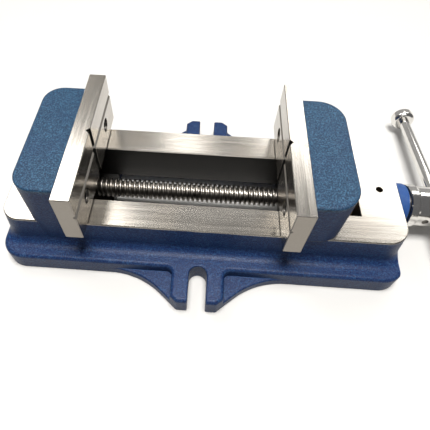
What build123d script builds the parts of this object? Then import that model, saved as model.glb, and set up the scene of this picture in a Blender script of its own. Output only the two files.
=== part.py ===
"""Low-profile machine vise: one casting with a fixed jaw, a moving jaw on two rails, and a lead screw.

Millimetres, +Z up. The origin is on the flat underside, on the centre line, straight below the fixed
jaw's clamping face. +X runs along the lead screw towards the handle, +Y runs across the jaws.
"""
from build123d import *
import os
from math import cos, radians, sin, tan

os.makedirs("parts", exist_ok=True)

# ---- jaw plates -------------------------------------------------------------------------------------
jaw_width = 100.0
jaw_height = 36.0
jaw_thickness = 10.5
jaw_lift = 1.2  # a plate's foot stays this far above the rails
jaw_opening = 113.5  # distance between the clamping faces as the vise is stored
work_groove_depth = 1.8  # level V groove that holds round bar
work_groove_drop = 15.2  # below the top edge
pipe_groove_depth = 2.3  # upright V groove in the middle
jaw_edge = 0.35

# ---- body casting -----------------------------------------------------------------------------------
body_height = 34.5  # underside to rail tops
slot_past_plate = 1.5  # the gap between the rails runs this far past the fixed plate's back
recess_lead = 1.5  # the recess starts this far before the tongue's place with the jaws closed
recess_tail = 3.0  # and ends this far past its place with the jaws wide open
body_width = 79.5  # over the rails
body_draft = 6.0  # degrees
tail_corner = 11.0
end_corner = 14.0
tail_length = 54.0  # body behind the fixed jaw's face
bridge_length = 26.5  # solid end that carries the screw
rail_gap = 42.0
rail_depth = 27.0  # rail tops to the face that the keeper runs under
recess_width = 62.0
recess_corner = 5.0
rail_edge = 0.6
root_blend = 6.0  # hollow curve where the sides meet the flange

flange_width = 107.0
flange_height = 14.0
flange_margin = 3.6  # beyond the tail
facing = 3.6  # the flange is cast this far past the body's other end, then faced off flush with it
flange_corner = 14.0
flange_edge = 2.4

lug_position = 66.9
lug_reach = 75.5  # centre line to lug tip
lug_tip_width = 24.0
lug_tip_corner = 2.5
lug_slope = 41.5  # degrees between the flange's edge and the lug's flank
lug_blend = 50.0
hold_down_width = 11.0
hold_down_start = 52.0  # centre line to the slot's round end
pad_width = 10.5
pad_root = 4.0  # radius where a pad's side meets the flange's edge
web_height = 6.5  # the lugs are this thin beside their pads
web_edge = 1.2
hold_down_edge = 0.9  # rounding of the slot's rim

# ---- jaw blocks -------------------------------------------------------------------------------------
block_width = 83.0
block_depth = 26.4
block_height = 33.0  # above the rails
fixed_corner = 12.5
moving_corner = 16.0
block_edge = 1.2
skirt_drop = 14.0  # the fixed block's sides run down the body this far
tongue_inset = 6.5  # from the moving jaw's face to the tongue
tongue_length = 29.0
spare_travel = 7.5  # opening left beyond the stored one

# ---- lead screw, bearings and handle ----------------------------------------------------------------
screw_drop = 15.0  # rail tops to the screw's axis
screw_diameter = 12.7
screw_pitch = 3.175
shaft_diameter = 11.0  # plain part through the bridge
bush_diameter = 16.0
bush_flange_diameter = 22.0
bush_flange = 2.0
tail_bush_diameter = 14.0
tail_bush_length = 16.0
collar_diameter = 20.0
collar_length = 4.5
collar_edge = 0.6
collar_pin_diameter = 2.5
boss_diameter = 28.8
boss_length = 7.5
boss_edge = 2.0
washer_diameter = 22.0
washer_thickness = 0.8
hub_ring_diameter = 28.2
hub_ring_length = 5.2
hub_diameter = 26.2
hub_length = 34.0
hub_step = 1.2
hub_edge = 1.5
hub_small_edge = 0.5
hub_web = 3.75  # metal left between the shaft's end and the bar's hole
hub_pin_diameter = 4.0
hub_pin_inset = 11.5  # from the hub's inner face
bar_inset = 24.5  # from the hub's inner face to the bar
bar_diameter = 7.5
bar_length = 150.0  # between the knobs
bar_shift = 13.0  # how far the bar is stored off its middle
bar_tilt = -4.7  # degrees, positive lifts the +Y end
knob_diameter = 16.0
knob_length = 7.5
knob_neck = 2.2
knob_dome = 1.8
spigot_diameter = 5.0
spigot_length = 5.0
spigot_room = 0.5
oil_hole_diameter = 4.6
oil_hole_inset = 12.0  # from the bridge's outer end
bush_oil_hole_diameter = 3.0
bush_edge = 0.4
tail_bush_edge = 0.5
shaft_edge = 0.5
thread_land = 0.37  # crest and root flats, as shares of the pitch

nut_diameter = 19.0
nut_pin_diameter = 4.0
nut_pin_gap = 1.15  # metal left between the pin and the thread's crests
nut_edge = 0.4
pin_edge = 0.3
pin_sink = 0.4  # a cross pin's ends lie this far below the surface around them
keeper_width = 58.0
keeper_thickness = 5.5
keeper_corner = 2.0
keeper_spread_x = 18.0

# ---- fasteners, all M5 ------------------------------------------------------------------------------
m5 = 5.0
m5_clear = 5.5
cap_head_diameter = 8.5
cap_head_height = 5.0
cap_head_edge = 0.4
cap_bore_diameter = 9.2
cap_bore_depth = 6.0
hex_key = 4.0  # across flats
hex_depth = 2.5
jaw_screw_length = 16.0
jaw_screw_spread = 58.0
jaw_screw_rise = 12.5  # above the plate's foot
flat_head_diameter = 10.0
flat_head_sink = 0.3  # below the keeper's face
keeper_screw_length = 16.0

# ---- clearances -------------------------------------------------------------------------------------
running = 0.05  # radial, a shaft in its bush, nut or hub
sliding = 0.1  # each side of a slideway, and of the bar in its hole
riding = 0.05  # under the moving jaw
axial_play = 0.1
stop_gap = 0.4
cut_past = 1.0  # cutters pass their faces by this
near = 0.01  # places this close are the same place

# ---- places that follow from the sizes --------------------------------------------------------------
screw_height = body_height - screw_drop
plate_foot = body_height + jaw_lift
moving_back = jaw_opening + jaw_thickness
tongue_front = jaw_opening + tongue_inset
tongue_end = tongue_front + tongue_length
collar_start = tongue_end + spare_travel + stop_gap
flange_start = collar_start + collar_length + axial_play
bridge_start = flange_start + bush_flange
body_end = bridge_start + bridge_length
boss_end = body_end + boss_length
hub_start = boss_end + washer_thickness + axial_play
bar_x = hub_start + bar_inset
hub_socket_depth = bar_inset - bar_diameter / 2 - hub_web
slot_start = -(jaw_thickness + slot_past_plate)
keeper_top = body_height - rail_depth - sliding
recess_start = tongue_inset - recess_lead
recess_end = tongue_end + spare_travel + recess_tail
thread_start = slot_start + axial_play
thread_end = collar_start
thread_root = screw_diameter - screw_pitch
hold_down_radius = hold_down_width / 2
block_top = body_height + block_height
screw_middle = (0, 0, screw_height)
cross = (0, cos(radians(bar_tilt)), sin(radians(bar_tilt)))  # along the handle bar

across_screw = Plane(origin=screw_middle, x_dir=(0, 1, 0), z_dir=(1, 0, 0))
fixed_face = Plane(origin=(0, 0, plate_foot), x_dir=(0, 1, 0), z_dir=(1, 0, 0))
moving_face = Plane(origin=(jaw_opening, 0, plate_foot), x_dir=(0, -1, 0), z_dir=(-1, 0, 0))
jaw_screw_places = [(side * jaw_screw_spread / 2, jaw_screw_rise) for side in (-1, 1)]


def at_screw(x):
    """The plane square to the lead screw at x."""
    return across_screw.offset(x)


def save(piece, name):
    """Name a finished piece and write it as its own STEP file."""
    piece.label = name
    export_step(piece, f"parts/{name}.step")


def pin_plane(x):
    """The plane square to the cross pins at x, with its normal along the handle bar."""
    return Plane(origin=(x, 0, screw_height), x_dir=(1, 0, 0), z_dir=cross)


bar_plane = pin_plane(bar_x)


# ---- base casting: body, flange, lugs, fixed jaw block and screw boss -------------------------------
flank_run = (lug_reach - flange_width / 2) / tan(radians(lug_slope))
foot_length = flange_margin + tail_length + body_end + facing
foot_middle = body_end + facing - foot_length / 2
pad_span = hold_down_width + 2 * pad_width

with BuildPart() as base_casting:
    # thin lugs in the foot's whole outline, with the flange and the hold-down pads standing on it
    with BuildSketch() as foot:
        with Locations((foot_middle, 0)):
            RectangleRounded(foot_length, flange_width, flange_corner)
        half_tip = lug_tip_width / 2
        foot_x = half_tip + flank_run
        half_flange = flange_width / 2
        with Locations((lug_position, 0)):
            Polygon(
                (half_tip, lug_reach), (foot_x, half_flange), (foot_x, -half_flange),
                (half_tip, -lug_reach), (-half_tip, -lug_reach), (-foot_x, -half_flange),
                (-foot_x, half_flange), (-half_tip, lug_reach), align=None,
            )
        tips = foot.vertices().group_by(Axis.Y)
        fillet(tips[0] + tips[-1], lug_tip_corner)
        roots = [
            v for v in foot.vertices()
            if abs(abs(v.X - lug_position) - foot_x) < near and abs(abs(v.Y) - half_flange) < near
        ]
        fillet(roots, lug_blend)
    extrude(amount=web_height)
    fillet(faces().sort_by(Axis.Z)[-1].outer_wire().edges(), web_edge)
    with BuildSketch() as flange:
        with Locations((lug_position, 0)):
            Rectangle(pad_span, 2 * lug_reach)
        add(foot.sketch, mode=Mode.INTERSECT)
        with Locations((foot_middle, 0)):
            RectangleRounded(foot_length, flange_width, flange_corner)
        pad_roots = [
            v for v in flange.vertices()
            if abs(abs(v.X - lug_position) - pad_span / 2) < near and abs(abs(v.Y) - half_flange) < near
        ]
        fillet(pad_roots, pad_root)
    extrude(amount=flange_height)
    fillet(faces().sort_by(Axis.Z)[-1].outer_wire().edges(), flange_edge)

    body_length = body_end + tail_length
    with BuildSketch(Plane.XY.offset(body_height)):
        with Locations((body_end - body_length / 2, 0)):
            Rectangle(body_length, body_width)
        fillet(vertices().group_by(Axis.X)[0], tail_corner)
        fillet(vertices().group_by(Axis.X)[-1], end_corner)
    extrude(amount=-(body_height - flange_height / 2), taper=-body_draft)
    side_roots = [
        e for e in edges().filter_by(GeomType.LINE).filter_by(Axis.X)
        if abs(e.center().Z - flange_height) < near and abs(e.center().Y) < flange_width / 2 - flange_edge - near
    ]
    fillet(side_roots, root_blend)
    split(bisect_by=Plane.YZ.offset(body_end), keep=Keep.BOTTOM)
    chamfer(faces().sort_by(Axis.Z)[-1].outer_wire().edges(), rail_edge)

    # fixed jaw block, whose sides run down into the body's
    with BuildSketch(Plane.XY.offset(block_top)):
        with Locations((-jaw_thickness - block_depth / 2, 0)):
            Rectangle(block_depth, block_width)
        back_corners = vertices().group_by(Axis.X)[0]
        fillet(back_corners, fixed_corner)
    extrude(amount=-(block_height + skirt_drop))
    block_rim = faces().sort_by(Axis.Z)[-1].outer_wire().edges()
    fillet([e for e in block_rim if e.center().X < -jaw_thickness - near], block_edge)

    # boss around the screw
    with BuildSketch(at_screw(bridge_start)):
        Circle(boss_diameter / 2)
    extrude(amount=boss_end - bridge_start)
    fillet(faces().sort_by(Axis.X)[-1].outer_wire().edges(), boss_edge)

    # gap between the rails, and the wider recess under them for the keeper
    with BuildSketch(Plane.XY.offset(body_height + cut_past)):
        with Locations(((slot_start + bridge_start) / 2, 0)):
            Rectangle(bridge_start - slot_start, rail_gap)
    extrude(amount=-(rail_depth + cut_past), mode=Mode.SUBTRACT)
    gap_edges = [
        e for e in edges().filter_by(GeomType.LINE).filter_by(Axis.X)
        if abs(e.center().Z - body_height) < near and abs(abs(e.center().Y) - rail_gap / 2) < near
    ]
    chamfer(gap_edges, rail_edge)
    with BuildSketch(Plane.XY.offset(-cut_past)):
        with Locations(((recess_start + recess_end) / 2, 0)):
            RectangleRounded(recess_end - recess_start, recess_width, recess_corner)
    extrude(amount=body_height - rail_depth + cut_past, mode=Mode.SUBTRACT)

    # bores for the two bushes, the oil hole, and the fixed plate's tapped holes
    with BuildSketch(at_screw(bridge_start - cut_past)):
        Circle(bush_diameter / 2)
    extrude(amount=boss_end - bridge_start + 2 * cut_past, mode=Mode.SUBTRACT)
    with BuildSketch(at_screw(slot_start + cut_past)):
        Circle(tail_bush_diameter / 2)
    extrude(amount=-(tail_bush_length + 2 * cut_past), mode=Mode.SUBTRACT)
    with BuildSketch(Plane.XY.offset(screw_height)):
        with Locations((body_end - oil_hole_inset, 0)):
            Circle(oil_hole_diameter / 2)
    extrude(amount=body_height, mode=Mode.SUBTRACT)
    with BuildSketch(fixed_face.offset(-jaw_thickness)):
        with Locations(*jaw_screw_places):
            Circle(m5 / 2)
    extrude(amount=-jaw_screw_length, mode=Mode.SUBTRACT)

    # open hold-down slots
    slot_near = hold_down_start + hold_down_radius
    slot_far = lug_reach + hold_down_width
    with BuildSketch(Plane.XY.offset(-cut_past)):
        for side in (-1, 1):
            with Locations((lug_position, side * (slot_near + slot_far) / 2)):
                SlotCenterToCenter(slot_far - slot_near, hold_down_width, rotation=90)
    extrude(amount=flange_height + 2 * cut_past, mode=Mode.SUBTRACT)
    fillet([e for e in edges(Select.LAST) if abs(e.center().Z - flange_height) < near], hold_down_edge)
save(base_casting.part, "base_casting")


# ---- jaw plates, alike, facing each other ------------------------------------------------------------
for name, face in (("fixed_jaw_plate", fixed_face), ("moving_jaw_plate", moving_face)):
    with BuildPart() as plate:
        with BuildSketch(face):
            Rectangle(jaw_width, jaw_height, align=(Align.CENTER, Align.MIN))
        extrude(amount=-jaw_thickness)
        chamfer(plate.edges(), jaw_edge)
        across = Plane(origin=face.origin, x_dir=face.x_dir, z_dir=(0, 0, 1))
        with BuildSketch(across):
            Polygon(
                (-pipe_groove_depth, 0), (0, pipe_groove_depth), (pipe_groove_depth, 0), align=None,
            )
        extrude(amount=jaw_height, mode=Mode.SUBTRACT)
        along = Plane(origin=face.origin, x_dir=(0, 0, 1), z_dir=face.x_dir)
        groove_rise = jaw_height - work_groove_drop
        with BuildSketch(along):
            with Locations((groove_rise, 0)):
                Polygon(
                    (-work_groove_depth, 0), (0, -work_groove_depth), (work_groove_depth, 0), align=None,
                )
        extrude(amount=jaw_width / 2, both=True, mode=Mode.SUBTRACT)
        with Locations(face):
            with Locations(*jaw_screw_places):
                CounterBoreHole(m5_clear / 2, cap_bore_diameter / 2, cap_bore_depth)
    save(plate.part, name)


# ---- socket cap screws that hold the jaw plates ------------------------------------------------------
for jaw, face in (("fixed", fixed_face), ("moving", moving_face)):
    for number, place in enumerate(jaw_screw_places, 1):
        seat = face.offset(-cap_bore_depth)
        with BuildPart() as jaw_screw:
            with BuildSketch(seat):
                with Locations(place):
                    Circle(cap_head_diameter / 2)
            extrude(amount=cap_head_height)
            chamfer(jaw_screw.faces().sort_by(Axis(face.origin, face.z_dir))[-1].edges(), cap_head_edge)
            with BuildSketch(seat):
                with Locations(place):
                    Circle(m5 / 2)
            extrude(amount=-jaw_screw_length)
            with BuildSketch(seat.offset(cap_head_height)):
                with Locations(place):
                    RegularPolygon(hex_key / 2, 6, major_radius=False)
            extrude(amount=-hex_depth, mode=Mode.SUBTRACT)
        save(jaw_screw.part, f"{jaw}_jaw_screw_{number}")


# ---- moving jaw: block on the rails, tongue between them ---------------------------------------------
tongue_width = rail_gap - 2 * sliding
tongue_middle = tongue_front + tongue_length / 2
keeper_screw_y = (nut_diameter + tongue_width) / 4  # midway between the nut and the tongue's side
keeper_screw_places = [
    (tongue_middle + sx * keeper_spread_x / 2, sy * keeper_screw_y) for sx in (-1, 1) for sy in (-1, 1)
]
keeper_face = Plane.XY.offset(keeper_top - keeper_thickness)

with BuildPart() as moving_jaw_casting:
    with BuildSketch(Plane.XY.offset(body_height + riding)):
        with Locations((moving_back + block_depth / 2, 0)):
            Rectangle(block_depth, block_width)
        fillet(vertices().group_by(Axis.X)[-1], moving_corner)
    extrude(amount=block_top - body_height - riding)
    block_rim = faces().sort_by(Axis.Z)[-1].outer_wire().edges()
    fillet([e for e in block_rim if e.center().X > moving_back + near], block_edge)
    with BuildSketch(Plane.XY.offset(keeper_top)):
        with Locations((tongue_middle, 0)):
            Rectangle(tongue_length, tongue_width)
    extrude(amount=body_height + riding - keeper_top)
    with BuildSketch(at_screw(tongue_front - cut_past)):
        Circle(nut_diameter / 2)
    extrude(amount=tongue_length + 2 * cut_past, mode=Mode.SUBTRACT)
    with BuildSketch(moving_face.offset(-jaw_thickness)):
        with Locations(*jaw_screw_places):
            Circle(m5 / 2)
    extrude(amount=-jaw_screw_length, mode=Mode.SUBTRACT)
    with BuildSketch(Plane.XY.offset(keeper_top)):
        with Locations(*keeper_screw_places):
            Circle(m5 / 2)
        with Locations((tongue_middle, 0)):
            Circle(nut_pin_diameter / 2)
    extrude(amount=keeper_screw_length, mode=Mode.SUBTRACT)
save(moving_jaw_casting.part, "moving_jaw_casting")

with BuildPart() as keeper_plate:
    with BuildSketch(Plane.XY.offset(keeper_top)):
        with Locations((tongue_middle, 0)):
            RectangleRounded(tongue_length, keeper_width, keeper_corner)
    extrude(amount=-keeper_thickness)
    with Locations(keeper_face.rotated((180, 0, 0))):
        with Locations(*[(x, -y) for x, y in keeper_screw_places]):
            CounterSinkHole(m5_clear / 2, flat_head_diameter / 2)
save(keeper_plate.part, "keeper_plate")

for number, place in enumerate(keeper_screw_places, 1):
    head_face = keeper_face.offset(flat_head_sink)
    with BuildPart() as keeper_screw:
        with BuildSketch(head_face):
            with Locations(place):
                Circle(flat_head_diameter / 2 - flat_head_sink)
        extrude(amount=(flat_head_diameter - m5) / 2, taper=45)
        with BuildSketch(head_face):
            with Locations(place):
                Circle(m5 / 2)
        extrude(amount=keeper_screw_length)
        with BuildSketch(head_face):
            with Locations(place):
                RegularPolygon(hex_key / 2, 6, major_radius=False)
        extrude(amount=hex_depth, mode=Mode.SUBTRACT)
    save(keeper_screw.part, f"keeper_screw_{number}")

with BuildPart() as jaw_nut:
    with BuildSketch(at_screw(tongue_front)):
        Circle(nut_diameter / 2)
        Circle(screw_diameter / 2 + running, mode=Mode.SUBTRACT)
    extrude(amount=tongue_length)
    chamfer(jaw_nut.edges().filter_by(GeomType.CIRCLE), nut_edge)
    pin_top = screw_height - screw_diameter / 2 - nut_pin_gap
    with BuildSketch(Plane.XY.offset(pin_top)):
        with Locations((tongue_middle, 0)):
            Circle(nut_pin_diameter / 2)
    extrude(amount=-nut_diameter, mode=Mode.SUBTRACT)
save(jaw_nut.part, "jaw_nut")

with BuildPart() as nut_pin:
    with BuildSketch(Plane.XY.offset(keeper_top)):
        with Locations((tongue_middle, 0)):
            Circle(nut_pin_diameter / 2)
    extrude(amount=pin_top - keeper_top)
    chamfer(nut_pin.edges(), pin_edge)
save(nut_pin.part, "nut_pin")


# ---- lead screw and what it turns in -----------------------------------------------------------------
thread_turns = int((thread_end - thread_start) / screw_pitch)
land = thread_land * screw_pitch
flank = screw_pitch / 2 - land
shaft_end = hub_start + hub_socket_depth

with BuildPart() as lead_screw:
    with BuildSketch(Plane.XZ):
        with BuildLine():
            crest, root, plain = screw_diameter / 2, thread_root / 2, shaft_diameter / 2
            tail = thread_start - tail_bush_length
            profile = [(tail, 0), (tail, root - shaft_edge), (tail + shaft_edge, root)]
            for turn in range(thread_turns):
                x = thread_start + turn * screw_pitch + land
                profile += [(x, root), (x + flank, crest), (x + flank + land, crest)]
                profile += [(x + 2 * flank + land, root)]
            profile += [(thread_end, root), (thread_end, plain)]
            profile += [(shaft_end - shaft_edge, plain), (shaft_end, plain - shaft_edge), (shaft_end, 0)]
            Polyline(*[(x, screw_height + r) for x, r in profile], close=True)
        make_face()
    revolve(axis=Axis(screw_middle, (1, 0, 0)))
    for x, diameter in (
        (hub_start + hub_pin_inset, hub_pin_diameter),
        (collar_start + collar_length / 2, collar_pin_diameter),
    ):
        with BuildSketch(pin_plane(x)):
            Circle(diameter / 2)
        extrude(amount=screw_diameter, both=True, mode=Mode.SUBTRACT)
save(lead_screw.part, "lead_screw")

bush_bore = shaft_diameter / 2 + running
with BuildPart() as bridge_bush:
    with BuildSketch(at_screw(flange_start)):
        Circle(bush_flange_diameter / 2)
    extrude(amount=bush_flange)
    with BuildSketch(at_screw(flange_start)):
        Circle(bush_diameter / 2)
    extrude(amount=boss_end - flange_start)
    with BuildSketch(at_screw(flange_start)):
        Circle(bush_bore)
    extrude(amount=boss_end - flange_start, mode=Mode.SUBTRACT)
    with BuildSketch(Plane.XY.offset(screw_height)):
        with Locations((body_end - oil_hole_inset, 0)):
            Circle(bush_oil_hole_diameter / 2)
    extrude(amount=bush_diameter, mode=Mode.SUBTRACT)
    chamfer(bridge_bush.faces().sort_by(Axis.X)[-1].edges(), bush_edge)
save(bridge_bush.part, "bridge_bush")

with BuildPart() as tail_bush:
    with BuildSketch(at_screw(slot_start)):
        Circle(tail_bush_diameter / 2)
        Circle(thread_root / 2 + running, mode=Mode.SUBTRACT)
    extrude(amount=-tail_bush_length)
    chamfer(tail_bush.faces().sort_by(Axis.X)[0].outer_wire().edges(), tail_bush_edge)
save(tail_bush.part, "tail_bush")

with BuildPart() as thrust_collar:
    with BuildSketch(at_screw(collar_start)):
        Circle(collar_diameter / 2)
        Circle(shaft_diameter / 2, mode=Mode.SUBTRACT)
    extrude(amount=collar_length)
    chamfer(thrust_collar.faces().sort_by(Axis.X)[0].outer_wire().edges(), collar_edge)
    with BuildSketch(pin_plane(collar_start + collar_length / 2)):
        Circle(collar_pin_diameter / 2)
    extrude(amount=collar_diameter, both=True, mode=Mode.SUBTRACT)
save(thrust_collar.part, "thrust_collar")

with BuildPart() as thrust_washer:
    with BuildSketch(at_screw(boss_end)):
        Circle(washer_diameter / 2)
        Circle(bush_bore, mode=Mode.SUBTRACT)
    extrude(amount=washer_thickness)
save(thrust_washer.part, "thrust_washer")

with BuildPart() as screw_hub:
    ring, barrel = hub_ring_diameter / 2, hub_diameter / 2
    with BuildSketch(Plane.XZ):
        with BuildLine():
            profile = [
                (0, 0), (0, ring - hub_small_edge), (hub_small_edge, ring),
                (hub_ring_length - hub_small_edge, ring), (hub_ring_length, ring - hub_small_edge),
                (hub_ring_length + hub_step, barrel), (hub_length - hub_edge, barrel),
                (hub_length, barrel - hub_edge), (hub_length, 0),
            ]
            Polyline(*[(hub_start + x, screw_height + r) for x, r in profile], close=True)
        make_face()
    revolve(axis=Axis(screw_middle, (1, 0, 0)))
    with BuildSketch(at_screw(hub_start)):
        Circle(shaft_diameter / 2)
    extrude(amount=hub_socket_depth, mode=Mode.SUBTRACT)
    with BuildSketch(bar_plane):
        Circle(bar_diameter / 2 + sliding)
        with Locations((hub_start + hub_pin_inset - bar_x, 0)):
            Circle(hub_pin_diameter / 2)
    extrude(amount=hub_diameter, both=True, mode=Mode.SUBTRACT)
save(screw_hub.part, "screw_hub")

for name, x, diameter, reach in (
    ("hub_pin", hub_start + hub_pin_inset, hub_pin_diameter, hub_diameter / 2 - pin_sink),
    ("collar_pin", collar_start + collar_length / 2, collar_pin_diameter, collar_diameter / 2 - pin_sink),
):
    with BuildPart() as cross_pin:
        with BuildSketch(pin_plane(x)):
            Circle(diameter / 2)
        extrude(amount=reach, both=True)
        chamfer(cross_pin.edges().filter_by(GeomType.CIRCLE), pin_edge)
    save(cross_pin.part, name)


# ---- handle: a bar that slides through the hub, with a knob screwed on each end -----------------------
far_face = bar_shift + bar_length / 2  # from the screw's axis to each knob's inner face, along the bar
near_face = bar_shift - bar_length / 2

with BuildPart() as handle_bar:
    with BuildSketch(bar_plane.offset(near_face)):
        Circle(bar_diameter / 2)
    extrude(amount=bar_length)
    with BuildSketch(bar_plane.offset(near_face - spigot_length)):
        Circle(spigot_diameter / 2)
    extrude(amount=bar_length + 2 * spigot_length)
save(handle_bar.part, "handle_bar")

for name, start, outward in (("handle_knob_far", far_face, 1), ("handle_knob_near", near_face, -1)):
    face = bar_plane.offset(start)
    knob_plane = Plane(origin=face.origin, x_dir=face.x_dir, z_dir=face.z_dir * outward)
    with BuildPart() as knob:
        with BuildSketch(knob_plane):
            Circle(knob_diameter / 2)
        extrude(amount=knob_length)
        ends = knob.faces().sort_by(Axis(knob_plane.origin, knob_plane.z_dir))
        chamfer(ends[0].edges(), knob_neck)
        fillet(ends[-1].edges(), knob_dome)
        with BuildSketch(knob_plane):
            Circle(spigot_diameter / 2)
        extrude(amount=spigot_length + spigot_room, mode=Mode.SUBTRACT)
    save(knob.part, name)
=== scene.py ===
"""Looks for a low-profile machine vise, in metres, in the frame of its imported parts.

Most pieces keep their own meshes and get their paint, ground steel, bronze and chrome here. The lead screw,
the handle and the socket screws are made anew, with true helical threads, hexagons and rounded edges.
"""
from math import cos, pi, radians, sin, tau

import bmesh
import bpy
import numpy as np
from mathutils import Matrix, Vector


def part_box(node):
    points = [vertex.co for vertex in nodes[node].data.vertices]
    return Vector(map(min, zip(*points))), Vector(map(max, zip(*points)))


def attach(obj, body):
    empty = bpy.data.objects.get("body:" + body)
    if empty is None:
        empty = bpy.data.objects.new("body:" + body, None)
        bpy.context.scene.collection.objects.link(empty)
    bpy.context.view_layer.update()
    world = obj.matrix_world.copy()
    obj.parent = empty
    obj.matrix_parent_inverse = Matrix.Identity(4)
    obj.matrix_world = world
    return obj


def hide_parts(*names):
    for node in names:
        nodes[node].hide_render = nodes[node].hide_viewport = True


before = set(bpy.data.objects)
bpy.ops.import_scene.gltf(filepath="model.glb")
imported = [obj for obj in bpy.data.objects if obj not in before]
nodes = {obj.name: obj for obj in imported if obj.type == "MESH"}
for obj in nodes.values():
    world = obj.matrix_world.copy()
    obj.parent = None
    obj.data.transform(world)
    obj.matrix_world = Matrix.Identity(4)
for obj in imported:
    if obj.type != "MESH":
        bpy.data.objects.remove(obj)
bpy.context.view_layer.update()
mm = 0.001

# ---- sizes that the finishes and new pieces follow ----------------------------------------------------
rail_top = 34.5 * mm
rail_gap_half = 21.0 * mm
rail_edge = 0.6 * mm
body_start, body_end = -54 * mm, 190 * mm
jaw_thickness = 10.5 * mm
block_depth = 26.4 * mm
block_half_width = 41.5 * mm
block_top = 67.5 * mm
fixed_corner = 12.5 * mm
plate_half_width = 50.0 * mm
groove_half = 2.34 * mm
skin = 0.02 * mm

screw_pitch = 3.175 * mm
thread_root = 9.525 * mm / 2
tail_journal = 16 * mm
shaft_radius = 5.5 * mm
shaft_edge = 0.5 * mm

bar_radius = 3.75 * mm
bar_length = 150 * mm
bar_tilt = radians(-4.7)
bar_edge = 0.4 * mm
bar_seat = 1 * mm  # how far the bar runs into each knob
knob_length, knob_radius = 7.4 * mm, 8 * mm
knob_shoulder = 1.6 * mm
knob_edge = 1.0 * mm

m5_radius = 2.5 * mm
m5_crest = m5_radius - 0.02 * mm
m5_root = m5_radius - 0.45 * mm
m5_pitch = 0.8 * mm
m5_tip, m5_tip_radius, m5_tip_bend = 1.2 * mm, m5_radius - 0.9 * mm, 0.2 * mm
hexagon_across, hexagon_depth, hexagon_point = 4 * mm, 2.5 * mm, 0.8 * mm
cap_head = (4.25 * mm, 5 * mm)  # radius and height
flat_head = (4.7 * mm, 2.55 * mm)
knurl_count, knurl_depth = 36, 0.03  # the depth is a share of the head's radius


# ---- shader maths --------------------------------------------------------------------------------------
class Wire:
    """An output socket. Sums on wires add Math nodes, so that 1 - mask can be written plainly."""

    def __init__(self, owner, socket):
        self.owner, self.socket = owner, socket

    def math(self, operation, *values):
        return self.owner.node("ShaderNodeMath", {"operation": operation}, dict(enumerate(values)))

    def __add__(self, other):
        return self.math("ADD", self, other)

    def __sub__(self, other):
        return self.math("SUBTRACT", self, other)

    def __rsub__(self, other):
        return self.math("SUBTRACT", other, self)

    def __mul__(self, other):
        return self.math("MULTIPLY", self, other)

    def __pow__(self, other):
        return self.math("POWER", self, other)

    def __abs__(self):
        return self.math("ABSOLUTE", self)

    def at_least(self, other):
        return self.math("MAXIMUM", self, other)

    def at_most(self, other):
        return self.math("MINIMUM", self, other)

    def ramp(self, low, high):
        """0 below low, 1 above high, with a smooth rise between them."""
        settings = {"interpolation_type": "SMOOTHSTEP"}
        inputs = {"Value": self, "From Min": low, "From Max": high}
        return self.owner.node("ShaderNodeMapRange", settings, inputs)

    __radd__ = __add__
    __rmul__ = __mul__


class Nodes:
    """A node tree, and node() for whatever goes into it."""

    def __init__(self, tree):
        self.tree = tree

    def node(self, kind, settings=None, inputs=None, out=0):
        """Add a node, apply its settings, then link or set its inputs. Returns one output, or the node."""
        made = self.tree.nodes.new(kind)
        for key, value in (settings or {}).items():
            if key == "stops":
                for stop, (position, colour) in zip(made.color_ramp.elements, value):
                    stop.position, stop.color = position, (*colour, 1)
            else:
                setattr(made, key, value)
        for key, value in (inputs or {}).items():
            if isinstance(value, Wire):
                self.tree.links.new(value.socket, made.inputs[key])
            else:
                made.inputs[key].default_value = value
        return made if out is None else Wire(self, made.outputs[out])


class Finish(Nodes):
    """One material: a Principled BSDF and the patterns that feed it."""

    def __init__(self, name, **constants):
        self.material = bpy.data.materials.new(name)
        self.material.use_nodes = True
        super().__init__(self.material.node_tree)
        self.shader = self.tree.nodes["Principled BSDF"]
        for socket, value in constants.items():
            self.shader.inputs[socket.replace("_", " ")].default_value = value
        self.place = self.node("ShaderNodeTexCoord", out="Object")
        axes = self.node("ShaderNodeSeparateXYZ", inputs={0: self.place}, out=None)
        self.x, self.y, self.z = (Wire(self, axes.outputs[i]) for i in range(3))

    def stretched(self, scale):
        """Object coordinates multiplied by scale along each axis."""
        return self.node("ShaderNodeMapping", inputs={"Vector": self.place, "Scale": scale})

    def noise(self, scale, detail=3.0, roughness=0.55, along=(1, 1, 1)):
        """Noise from 0 to 1 with scale features a metre, longer where along is small."""
        place = self.stretched(along)
        inputs = {"Vector": place, "Scale": scale, "Detail": detail, "Roughness": roughness}
        return self.node("ShaderNodeTexNoise", inputs=inputs)

    def mix(self, mask, first, second):
        """first where mask is 0, second where it is 1."""
        inputs = {0: mask, 6: first, 7: second}
        return self.node("ShaderNodeMix", {"data_type": "RGBA"}, inputs, out=2)

    def bump(self, height, depth, below=None):
        """A Bump node: height 0 to 1 stands for depth metres."""
        inputs = {"Height": height, "Distance": depth, "Strength": 1.0}
        if below is not None:
            inputs["Normal"] = below
        return self.node("ShaderNodeBump", inputs=inputs)

    def edges(self, reach):
        """How far the surface turns away within reach: 0 on flats, towards 1 at a sharp edge."""
        soft = self.node("ShaderNodeBevel", {"samples": 6}, {"Radius": reach})
        true = self.node("ShaderNodeNewGeometry", out="Normal")
        settings = {"operation": "DOT_PRODUCT"}
        return 1 - self.node("ShaderNodeVectorMath", settings, {0: soft, 1: true}, out="Value")

    def feed(self, **sockets):
        for socket, wire in sockets.items():
            self.tree.links.new(wire.socket, self.shader.inputs[socket.replace("_", " ")])
        return self.material


def rgb(red, green, blue):
    """A colour given in 0 to 255 screen values, made linear for the shader."""
    levels = np.array([red, green, blue]) / 255
    linear = np.where(levels <= 0.04045, levels / 12.92, ((levels + 0.055) / 1.055) ** 2.4)
    return (*linear, 1)


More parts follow.
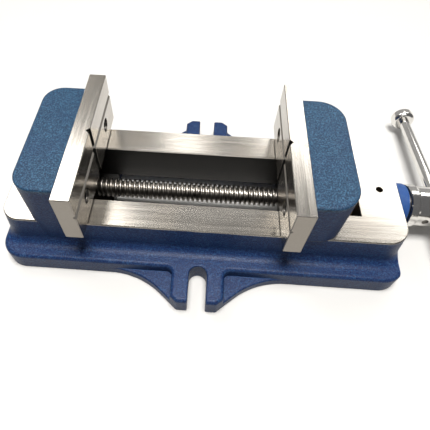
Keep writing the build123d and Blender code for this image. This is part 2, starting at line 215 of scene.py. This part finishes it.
def ground_layer(f, lay):
    """Colour, roughness and scratch height of surface-ground steel, with the wheel's marks along lay."""
    dull_steel, bright_steel, warm_steel = rgb(160, 156, 149), rgb(196, 191, 183), rgb(176, 167, 155)
    along = tuple(0.02 if axis == lay else 1.0 for axis in "xyz")
    fine = f.noise(2600, 2, 0.6, along)
    coarse = f.noise(420, 3, 0.6, along)
    cloud = f.noise(38, 3, 0.5)
    marks = fine * 0.6 + coarse * 0.4
    tone = f.mix(marks.ramp(0.3, 0.7), dull_steel, bright_steel)
    colour = f.mix(cloud.ramp(0.35, 0.75) * 0.5, tone, warm_steel)
    roughness = 0.14 + coarse * 0.1 + cloud * 0.08
    return colour, roughness, marks


def hammer_cells(f):
    """Distance from the middle of each hammertone cell; the cells are about 0.7 mm, with bent borders."""
    drift = f.node("ShaderNodeTexNoise", inputs={"Vector": f.place, "Scale": 700.0}, out=1)
    settings = {"data_type": "RGBA", "blend_type": "LINEAR_LIGHT"}
    warped = f.node("ShaderNodeMix", settings, {0: 0.0009, 6: f.place, 7: drift}, out=2)
    inputs = {"Vector": warped, "Scale": 1400.0, "Smoothness": 0.6}
    return f.node("ShaderNodeTexVoronoi", {"feature": "SMOOTH_F1"}, inputs)


def enamel_layer(f):
    """Colour, roughness and height of hammertone enamel: small shallow cells over a sand-cast surface.

    The enamel carries painted light: a paler, greyer blue with more speckle on top of the jaw blocks is
    painted sheen, and a lighter blue on the screw boss is a painted highlight. Small aluminium flakes speckle
    it, slow patches darken it, and it is pale along edges, partly thinner paint and partly a painted edge
    highlight.
    """
    body_tones = rgb(7, 20, 54), rgb(13, 34, 78)
    block_sheen_tones = rgb(14, 33, 54), rgb(26, 52, 76)
    boss_highlight_tone, flake_tone = rgb(34, 66, 122), rgb(60, 100, 126)
    patch_tone, pale_edge_and_highlight_tone = rgb(20, 38, 70), rgb(66, 98, 148)
    cell = hammer_cells(f)
    flake = f.noise(3200, 2, 0.7)
    hollow = cell.ramp(0.15, 0.75)
    # painted sheen: near the block tops the enamel is painted a paler, greyer blue with more speckle, for the
    # light the tops catch
    block_top_sheen = f.z.ramp(block_top - 4 * mm, block_top - 0.8 * mm)
    tone = f.mix(block_top_sheen, f.mix(hollow, *body_tones), f.mix(hollow, *block_sheen_tones))
    # painted highlight: the screw boss is painted a lighter blue for the light its top reflects
    tone = f.mix(f.x.ramp(body_end, body_end + 1 * mm), tone, boss_highlight_tone)
    speckle = (flake * 0.6 + cell * 0.4).ramp(0.46, 0.66)
    colour = f.mix(speckle * (0.34 + block_top_sheen * 0.34), tone, flake_tone)
    patch = f.noise(45, 3, 0.55)
    colour = f.mix(patch.ramp(0.4, 0.8) * 0.3, colour, patch_tone)
    # pale edges: partly thinner enamel, partly a painted edge highlight
    colour = f.mix(f.edges(1 * mm).ramp(0.01, 0.2) * 0.7, colour, pale_edge_and_highlight_tone)
    roughness = 0.32 + flake * 0.12 + patch * 0.08 - block_top_sheen * 0.06
    return colour, roughness, hollow


def between(value, low, high):
    """1 where value lies between low and high."""
    return value.ramp(low - skin, low + skin) * (1 - value.ramp(high - skin, high + skin))


def casting_finish(name, bare):
    """Blue enamel over a cast surface, with bare steel where bare(finish) says, darkened as painted shade in
    its second mask.
    """
    gap_shade_tone, rubbed_paint = rgb(60, 59, 58), rgb(88, 118, 152)
    f = Finish(name, Specular_IOR_Level=0.2)
    colour, roughness, hollow = enamel_layer(f)
    steel, steel_roughness, marks = ground_layer(f, "x")
    mask, gap_shade = bare(f)
    # painted shade: the steel in the gap between the rails is darkened
    steel = f.mix(gap_shade, steel, gap_shade_tone)
    steel_roughness = steel_roughness + gap_shade * 0.2
    wear = f.noise(300, 4, 0.65).ramp(0.55, 0.8)
    paint = f.mix(wear * 0.18, colour, rubbed_paint)
    cast = f.noise(95, 3, 0.5)
    grit = f.noise(900, 2, 0.6)
    painted = f.bump(cast, 0.25 * mm)
    painted = f.bump((hollow * 0.75 + grit * 0.25) * (1 - mask), 0.1 * mm, painted)
    ground = f.bump(marks, 0.004 * mm)
    normal = f.node("ShaderNodeMix", {"data_type": "VECTOR"}, {0: mask, 4: painted, 5: ground}, out=1)
    return f.feed(
        Base_Color=f.mix(mask, paint, steel),
        Roughness=roughness * (1 - mask) + steel_roughness * mask,
        Metallic=mask * 0.98,
        Normal=normal,
    )


def base_bare(f):
    """The rail tops, the walls and floor of the gap between them and the underside are bare.

    The fixed block stands on the rails. Its outline has rounded rear corners, so a point is clear of it where
    it lies in front of the block's face or outside those corners' arcs. The gap's steel is darkened as
    painted shade.
    """
    past_corner_x = (fixed_corner - jaw_thickness - block_depth - f.x).at_least(0)
    past_corner_y = (abs(f.y) - (block_half_width - fixed_corner)).at_least(0)
    from_corner = (past_corner_x**2 + past_corner_y**2) ** 0.5
    behind = from_corner.ramp(fixed_corner + skin, fixed_corner + 3 * skin) * past_corner_x.ramp(0, skin)
    clear_of_block = behind.at_least(f.x.ramp(-jaw_thickness, -jaw_thickness + skin))
    on_body = 1 - f.x.ramp(body_end + skin, body_end + 2 * skin)
    tops = between(f.z, rail_top - 1.3 * rail_edge, rail_top + 0.1 * mm) * clear_of_block * on_body
    gap_wall = 1 - abs(f.y).ramp(rail_gap_half + 0.5 * rail_edge, rail_gap_half + rail_edge)
    inside = between(f.x, body_start + 0.1 * mm, body_end - 0.1 * mm)
    gap = gap_wall * inside * (1 - f.z.ramp(rail_top - 1.4 * rail_edge, rail_top - 1.3 * rail_edge))
    under = 1 - f.z.ramp(0.1 * mm, 0.2 * mm)
    return tops.at_least(gap).at_least(under).at_most(1.0), gap


def moving_bare(f):
    """The tongue between the rails is machined, and darkened all over as painted shade."""
    tongue = 1 - f.z.ramp(rail_top + 0.3 * mm, rail_top + 0.5 * mm)
    return tongue, tongue


def ground_plate_finish(name, face_x, inward):
    """Ground all over, but for the ends, darkened as painted shade and rougher, and the V groove, painted
    near-black as shade.
    """
    stain_tone, end_shade_tone, groove_shade_tone = rgb(150, 134, 118), rgb(134, 128, 120), rgb(22, 21, 20)
    f = Finish(name, Metallic=1.0)
    depth = (f.x - face_x) * inward
    # painted shade: the V groove is painted near-black
    groove = 1 - (depth + abs(f.y)).ramp(groove_half - skin, groove_half + skin)
    groove = groove * depth.ramp(0.06 * mm, 0.12 * mm)
    colour, roughness, marks = ground_layer(f, "y")
    stain = f.noise(120, 5, 0.6).ramp(0.62, 0.78)
    # painted shade: the plates' end faces are darkened
    ends = abs(f.y).ramp(plate_half_width - 0.6 * mm, plate_half_width - 0.1 * mm)
    colour = f.mix(stain * 0.35, colour, stain_tone)
    colour = f.mix(ends * 0.85, colour, end_shade_tone)
    colour = f.mix(groove, colour, groove_shade_tone)
    roughness = roughness + stain * 0.08 + ends * 0.15 + groove * 0.3
    return f.feed(Base_Color=colour, Roughness=roughness, Normal=f.bump(marks, 0.006 * mm))


def turned_finish(name, dark, light, roughness):
    """Lathe-turned metal: fine rings about the x axis and a slow change of tone."""
    f = Finish(name, Metallic=1.0)
    rings = f.noise(2400, 2, 0.5, (1, 0.03, 0.03))
    tone = f.noise(160, 3, 0.55)
    colour = f.mix((rings * 0.55 + tone * 0.45).ramp(0.3, 0.7), dark, light)
    return f.feed(Base_Color=colour, Roughness=roughness + tone * 0.12, Normal=f.bump(rings, 0.01 * mm))


def chrome_finish():
    """Bright chrome with a thin haze and fine wiping marks."""
    f = Finish("chrome_plate", Metallic=1.0)
    haze = f.noise(220, 4, 0.6)
    wipe = f.noise(1800, 2, 0.5, (1, 0.05, 1))
    colour = f.mix(haze.ramp(0.4, 0.75) * 0.4, rgb(226, 224, 220), rgb(198, 194, 190))
    return f.feed(Base_Color=colour, Roughness=0.07 + haze * 0.1, Normal=f.bump(wipe, 0.003 * mm))


def black_oxide_finish():
    """Blackened steel with a grey bloom."""
    f = Finish("black_oxide_screw")
    bloom = f.noise(900, 4, 0.6)
    colour = f.mix(bloom.ramp(0.35, 0.7), rgb(20, 20, 22), rgb(46, 45, 46))
    return f.feed(
        Base_Color=colour,
        Roughness=0.34 + bloom * 0.2,
        Metallic=0.6 + bloom * 0.1,
        Normal=f.bump(bloom, 0.02 * mm),
    )


finishes = {
    "base_casting": casting_finish("hammertone_blue_base", base_bare),
    "moving_jaw_casting": casting_finish("hammertone_blue_jaw", moving_bare),
    "fixed_plate": ground_plate_finish("ground_steel_fixed", 0.0, -1),
    "moving_plate": ground_plate_finish("ground_steel_moving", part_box("moving_jaw_plate")[0].x, 1),
    "screw": turned_finish("oiled_screw_steel", rgb(92, 88, 84), rgb(146, 141, 134), 0.24),
    "bronze": turned_finish("bearing_bronze", rgb(150, 112, 60), rgb(190, 148, 84), 0.28),
    "chrome": chrome_finish(),
    "black": black_oxide_finish(),
}


# ---- surfaces worked out on grids ----------------------------------------------------------------------
def piece(name, grids, body, finish, replaced, sharp=35.0):
    """Join closed grids of points into one mesh. Each grid is rows of rings; equal points are merged."""
    points, faces, first = [], [], 0
    for grid in grids:
        rows, columns = grid.shape[:2]
        corner = first + np.arange(rows * columns).reshape(rows, columns)
        a, b, c, d = corner[:-1, :-1], corner[:-1, 1:], corner[1:, 1:], corner[1:, :-1]
        faces.append(np.stack([a, b, c, d], -1).reshape(-1, 4))
        points.append(grid.reshape(-1, 3))
        first += rows * columns
    mesh = bpy.data.meshes.new(name)
    mesh.from_pydata(np.concatenate(points), [], np.concatenate(faces))
    work = bmesh.new()
    work.from_mesh(mesh)
    bmesh.ops.remove_doubles(work, verts=work.verts, dist=2e-6)
    bmesh.ops.recalc_face_normals(work, faces=work.faces)
    work.to_mesh(mesh)
    work.free()
    mesh.shade_smooth()
    mesh.set_sharp_from_angle(angle=radians(sharp))
    made = bpy.data.objects.new(name, mesh)
    bpy.context.scene.collection.objects.link(made)
    mesh.materials.append(finish)
    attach(made, body)
    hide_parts(*replaced)
    return made


def softened(corners, radius, steps=5):
    """A profile whose inner corners are bends: curves between two points radius before and after each."""
    corners = np.array(corners, float)
    line = [corners[:1]]
    for before, corner, after in zip(corners, corners[1:], corners[2:]):
        start, stop = (
            corner + side / np.linalg.norm(side) * min(radius, np.linalg.norm(side) / 2.01)
            for side in (before - corner, after - corner)
        )
        t = np.linspace(0, 1, steps + 1)[:, None]
        line.append((1 - t) ** 2 * start + 2 * t * (1 - t) * corner + t**2 * stop)
    line.append(corners[-1:])
    return np.concatenate(line)


def about_axis(origin, direction, angles, along, radius):
    """Points about an axis w: origin + along * w + radius * (cos(angle) * u + sin(angle) * v)."""
    w = np.array(direction, float) / np.linalg.norm(direction)
    u = np.cross(w, (0, 0, 1.0)) if abs(w[2]) < 0.9 else np.cross(w, (1.0, 0, 0))
    u /= np.linalg.norm(u)
    v = np.cross(w, u)
    ring = np.cos(angles)[:, None] * u + np.sin(angles)[:, None] * v
    return np.array(origin) + along[..., None] * w + radius[..., None] * ring


def turned(profile, origin, direction, segments=96):
    """Revolve (distance along, radius) points about an axis."""
    angles = np.linspace(0, tau, segments + 1)
    grid = about_axis(origin, direction, angles, profile[:, :1], profile[:, 1:])
    grid[:, -1] = grid[:, 0]
    return grid


def threaded(start, end, crest, root, pitch, hand, ends, origin, direction, segments=48):
    """A helical thread between start and end, with ends as the plain profile before and after it.

    Rows follow the helix: a row at phase p and angle a lies at start + pitch * (p - hand * a / turn), and
    its radius goes from root to crest and back over each pitch. Rows past either end are held there at the
    root. The form over one pitch is a flat root, a rounded rise, a flat crest and a rounded fall.
    """
    form_phases = (0, 0.30, 0.37, 0.43, 0.50, 0.82, 0.89, 0.95)
    form_heights = (0, 0, 0.12, 0.88, 1, 1, 0.88, 0.12)
    run_out = 0.6 * pitch
    angles = np.linspace(0, tau, segments + 1)
    turns = int((end - start) / pitch) + 3
    phase = (np.arange(-1, turns)[:, None] + np.array(form_phases)).ravel()
    height = np.tile(form_heights, turns + 1)
    held = np.clip(start + pitch * (phase[:, None] - hand * angles / tau), start, end)
    fade = np.clip((held - start) / run_out, 0, 1) * np.clip((end - held) / run_out, 0, 1)
    radius = root + (crest - root) * height[:, None] * fade
    first, last = (np.array(part, float).reshape(-1, 2) for part in ends)
    wide = np.ones_like(angles)
    along = np.concatenate([first[:, :1] * wide, held, last[:, :1] * wide])
    radius = np.concatenate([first[:, 1:] * wide, radius, last[:, 1:] * wide])
    return about_axis(origin, direction, angles, along, radius)


def hexagon(across_flats, angles):
    """Radius of a hexagon at each angle: the nearest flat's distance over the cosine of the turn from it."""
    turn = (angles + pi / 6) % (pi / 3) - pi / 6
    return across_flats / 2 / np.cos(turn)


def make_lead_screw():
    """Left-hand thread up to the collar, then the plain journal that runs in the bridge's bush."""
    low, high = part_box("lead_screw")
    crest = (high.z - low.z) / 2
    on_axis = (0, 0, (low.z + high.z) / 2)
    thread_start = low.x + tail_journal
    thread_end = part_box("thrust_collar")[0].x
    tail = [(low.x, 0), (low.x, thread_root), (thread_start, thread_root)]
    journal = [(thread_end, thread_root), (thread_end, shaft_radius), (high.x, shaft_radius), (high.x, 0)]
    ends = softened(tail, shaft_edge), softened(journal, shaft_edge)
    grid = threaded(
        thread_start, thread_end, crest, thread_root, screw_pitch, -1, ends, on_axis, (1, 0, 0)
    )
    piece("lead_screw_turned", [grid], "spindle", finishes["screw"], ["lead_screw"], 50)


def make_handle():
    """A polished bar with a shouldered, domed knob on each end."""
    low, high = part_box("handle_bar")
    middle = (low + high) / 2
    along = Vector((0, cos(bar_tilt), sin(bar_tilt)))
    chrome = finishes["chrome"]
    knob = [
        (0, 0), (0, knob_radius - knob_shoulder), (knob_shoulder, knob_radius), (knob_length, knob_radius),
        (knob_length, 0),
    ]
    for name, outward in (("far", along), ("near", -along)):
        inner = middle + outward * (bar_length / 2)
        grid = turned(softened(knob, knob_edge, 7), inner, outward)
        node = f"handle_knob_{name}"
        piece(f"{node}_turned", [grid], "handle", chrome, [node])
    reach = bar_length / 2 + bar_seat
    bar = [(-reach, 0), (-reach, bar_radius), (reach, bar_radius), (reach, 0)]
    grid = turned(softened(bar, bar_edge), middle, along)
    piece("handle_bar_turned", [grid], "handle", chrome, ["handle_bar"])


def screw_head(top, outward, head_radius, head_height, countersunk):
    """A head from the bottom of its hexagon hole, over its top and down its side to the shank.

    A cap head's side has straight knurls, waves of the radius with the angle. A countersunk one is a cone.
    """
    angles = np.linspace(0, tau, 145)
    hole = hexagon(hexagon_across, angles)
    hole_edge, rim_edge, rim_bend = 0.25 * mm, 0.35 * mm, 0.1 * mm
    rows = [
        (hexagon_depth + hexagon_point, 0), (hexagon_depth, hole), (hole_edge, hole), (0, hole + hole_edge),
        (0, head_radius - rim_edge), (rim_bend, head_radius - rim_bend), (rim_edge, head_radius),
    ]
    if not countersunk:
        knurl_start, knurl_end = 0.7 * mm, head_height - 0.4 * mm
        knurled = head_radius * (1 - knurl_depth * np.abs(np.sin(angles * knurl_count / 2)))
        rows += [
            (knurl_start, knurled), (knurl_end, knurled),
            (head_height - 0.2 * mm, head_radius * 0.985), (head_height, head_radius * 0.96),
        ]
    rows.append((head_height, m5_radius))
    along = np.array([[distance] for distance, radius in rows])
    radius = np.array([radius * np.ones_like(angles) for distance, radius in rows])
    head = about_axis(top, -outward, angles, along, radius)
    head[:, -1] = head[:, 0]
    return head


def socket_screw(name, node, body, outward, head_size, countersunk=False):
    """A socket screw whose head faces outward, with a threaded shank. Its place comes from the node's box."""
    low, high = (np.array(corner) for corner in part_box(node))
    outward = np.array(outward, float)
    half = (high - low) / 2
    top = (low + high) / 2 + outward * half
    length = 2 * abs(outward @ half)
    head_radius, head_height = head_size
    neck_start, neck_end = head_height - 0.6 * mm, head_height + 1.2 * mm
    thread_start, thread_end = neck_end + 0.3 * mm, length - m5_tip
    neck = [(neck_start, 0), (neck_start, m5_crest), (neck_end, m5_crest), (thread_start, m5_root)]
    tip = softened([(thread_end, m5_root), (length, m5_tip_radius), (length, 0)], m5_tip_bend)
    head = screw_head(top, outward, head_radius, head_height, countersunk)
    shank = threaded(
        thread_start, thread_end, m5_crest, m5_root, m5_pitch, 1, (neck, tip), top, -outward, segments=32
    )
    piece(name, [head, shank], body, finishes["black"], [node], 40)


make_lead_screw()
make_handle()
for jaw, body, outward in (("fixed", "base", (1, 0, 0)), ("moving", "moving_jaw", (-1, 0, 0))):
    for number in (1, 2):
        node = f"{jaw}_jaw_screw_{number}"
        socket_screw(f"{node}_cap", node, body, outward, cap_head)
for number in (1, 2, 3, 4):
    node = f"keeper_screw_{number}"
    socket_screw(f"{node}_flat", node, "moving_jaw", (0, 0, -1), flat_head, countersunk=True)


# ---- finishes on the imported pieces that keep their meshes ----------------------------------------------
for node, finish in (
    ("base_casting", "base_casting"), ("moving_jaw_casting", "moving_jaw_casting"),
    ("fixed_jaw_plate", "fixed_plate"), ("moving_jaw_plate", "moving_plate"), ("keeper_plate", "screw"),
    ("bridge_bush", "bronze"), ("tail_bush", "bronze"), ("jaw_nut", "bronze"),
    ("thrust_collar", "screw"), ("thrust_washer", "screw"), ("nut_pin", "screw"),
    ("hub_pin", "screw"), ("collar_pin", "screw"), ("screw_hub", "chrome"),
):
    nodes[node].data.materials.clear()
    nodes[node].data.materials.append(finishes[finish])


# ---- floor, light and camera ---------------------------------------------------------------------------
def make_floor():
    """A wide pale table top."""
    mesh = bpy.data.meshes.new("floor")
    half_width = 4.0
    lines = np.linspace(-half_width, half_width, 3)
    x, y = np.meshgrid(lines, lines)
    grid = np.stack([x, y, np.zeros_like(x)], -1)
    corner = np.arange(x.size).reshape(x.shape)
    faces = np.stack([corner[:-1, :-1], corner[:-1, 1:], corner[1:, 1:], corner[1:, :-1]], -1)
    mesh.from_pydata(grid.reshape(-1, 3), [], faces.reshape(-1, 4))
    floor = bpy.data.objects.new("floor", mesh)
    bpy.context.scene.collection.objects.link(floor)
    f = Finish("pale_table", Roughness=0.7)
    tone = f.noise(3.0, 3, 0.5)
    mesh.materials.append(f.feed(Base_Color=f.mix(tone, rgb(183, 182, 180), rgb(188, 187, 185))))


def soft_light(name, place, aim, size, power):
    """A slightly warm rectangular light that faces aim."""
    lamp = bpy.data.lights.new(name, "AREA")
    lamp.shape, lamp.size, lamp.size_y = "RECTANGLE", *size
    lamp.energy, lamp.color = power, (1, 0.985, 0.96)
    holder = bpy.data.objects.new(name, lamp)
    holder.location = place
    holder.rotation_euler = (Vector(aim) - Vector(place)).to_track_quat("-Z", "Y").to_euler()
    bpy.context.scene.collection.objects.link(holder)


def make_lamps():
    """Soft lights round the vise: heading and height in degrees, size in metres, power in watts."""
    middle = Vector((0.07, 0, 0.02))
    distance = 1.2
    for name, heading, height, size, power in (
        ("ceiling", 180, 86, (0.5, 0.4), 27),
        ("right_window", 35, 41, (0.68, 0.26), 3.0),
        ("left_window", -47, 53, (0.5, 0.36), 3.6),
        ("back_lamp", -5, 46, (0.12, 0.1), 0.3),
        ("front_wall", 170, 52, (0.9, 0.5), 1.6),
    ):
        heading, height = radians(heading), radians(height)
        toward = Vector((sin(heading) * cos(height), cos(heading) * cos(height), sin(height)))
        soft_light(name, middle + toward * distance, middle, size, power)


def make_room():
    """A plain dim room that is paler towards its far, +Y, side."""
    dim_grey, pale_grey = (0.14, 0.14, 0.145), (0.42, 0.415, 0.41)
    world = bpy.data.worlds.new("studio")
    bpy.context.scene.world = world
    world.use_nodes = True
    room = Nodes(world.node_tree)
    toward = room.node("ShaderNodeTexCoord", out="Generated")
    quarter_turn = {"Vector": toward, "Rotation": (0, 0, radians(-90))}
    across = room.node("ShaderNodeMapping", inputs=quarter_turn)
    spread = room.node("ShaderNodeTexGradient", inputs={"Vector": across})
    stops = [(0.25, dim_grey), (0.75, pale_grey)]
    tone = room.node("ShaderNodeValToRGB", {"stops": stops}, {"Fac": spread})
    room.tree.links.new(tone.socket, room.tree.nodes["Background"].inputs["Color"])


def make_camera():
    """Looks down over the vise's near side, turned slightly to the left."""
    place = Vector((66.06, -161.51, 235.10)) * mm
    heading, dip, roll = radians(-3.425), radians(56.09), radians(0.849)
    forward = Vector((sin(heading) * cos(dip), cos(heading) * cos(dip), -sin(dip)))
    level = Vector((cos(heading), -sin(heading), 0))
    upright = level.cross(forward)
    right = level * cos(roll) + upright * sin(roll)
    up = upright * cos(roll) - level * sin(roll)
    lens = bpy.data.cameras.new("camera")
    lens.sensor_width, lens.lens = 36, 33.449
    lens.shift_x, lens.shift_y = 0.0648, -0.0057
    lens.clip_start, lens.clip_end = 0.01, 20
    holder = bpy.data.objects.new("camera", lens)
    holder.matrix_world = Matrix.Translation(place) @ Matrix((right, up, -forward)).transposed().to_4x4()
    bpy.context.scene.collection.objects.link(holder)
    bpy.context.scene.camera = holder


make_floor()
make_lamps()
make_room()
make_camera()
bpy.context.scene.view_settings.view_transform = "Standard"
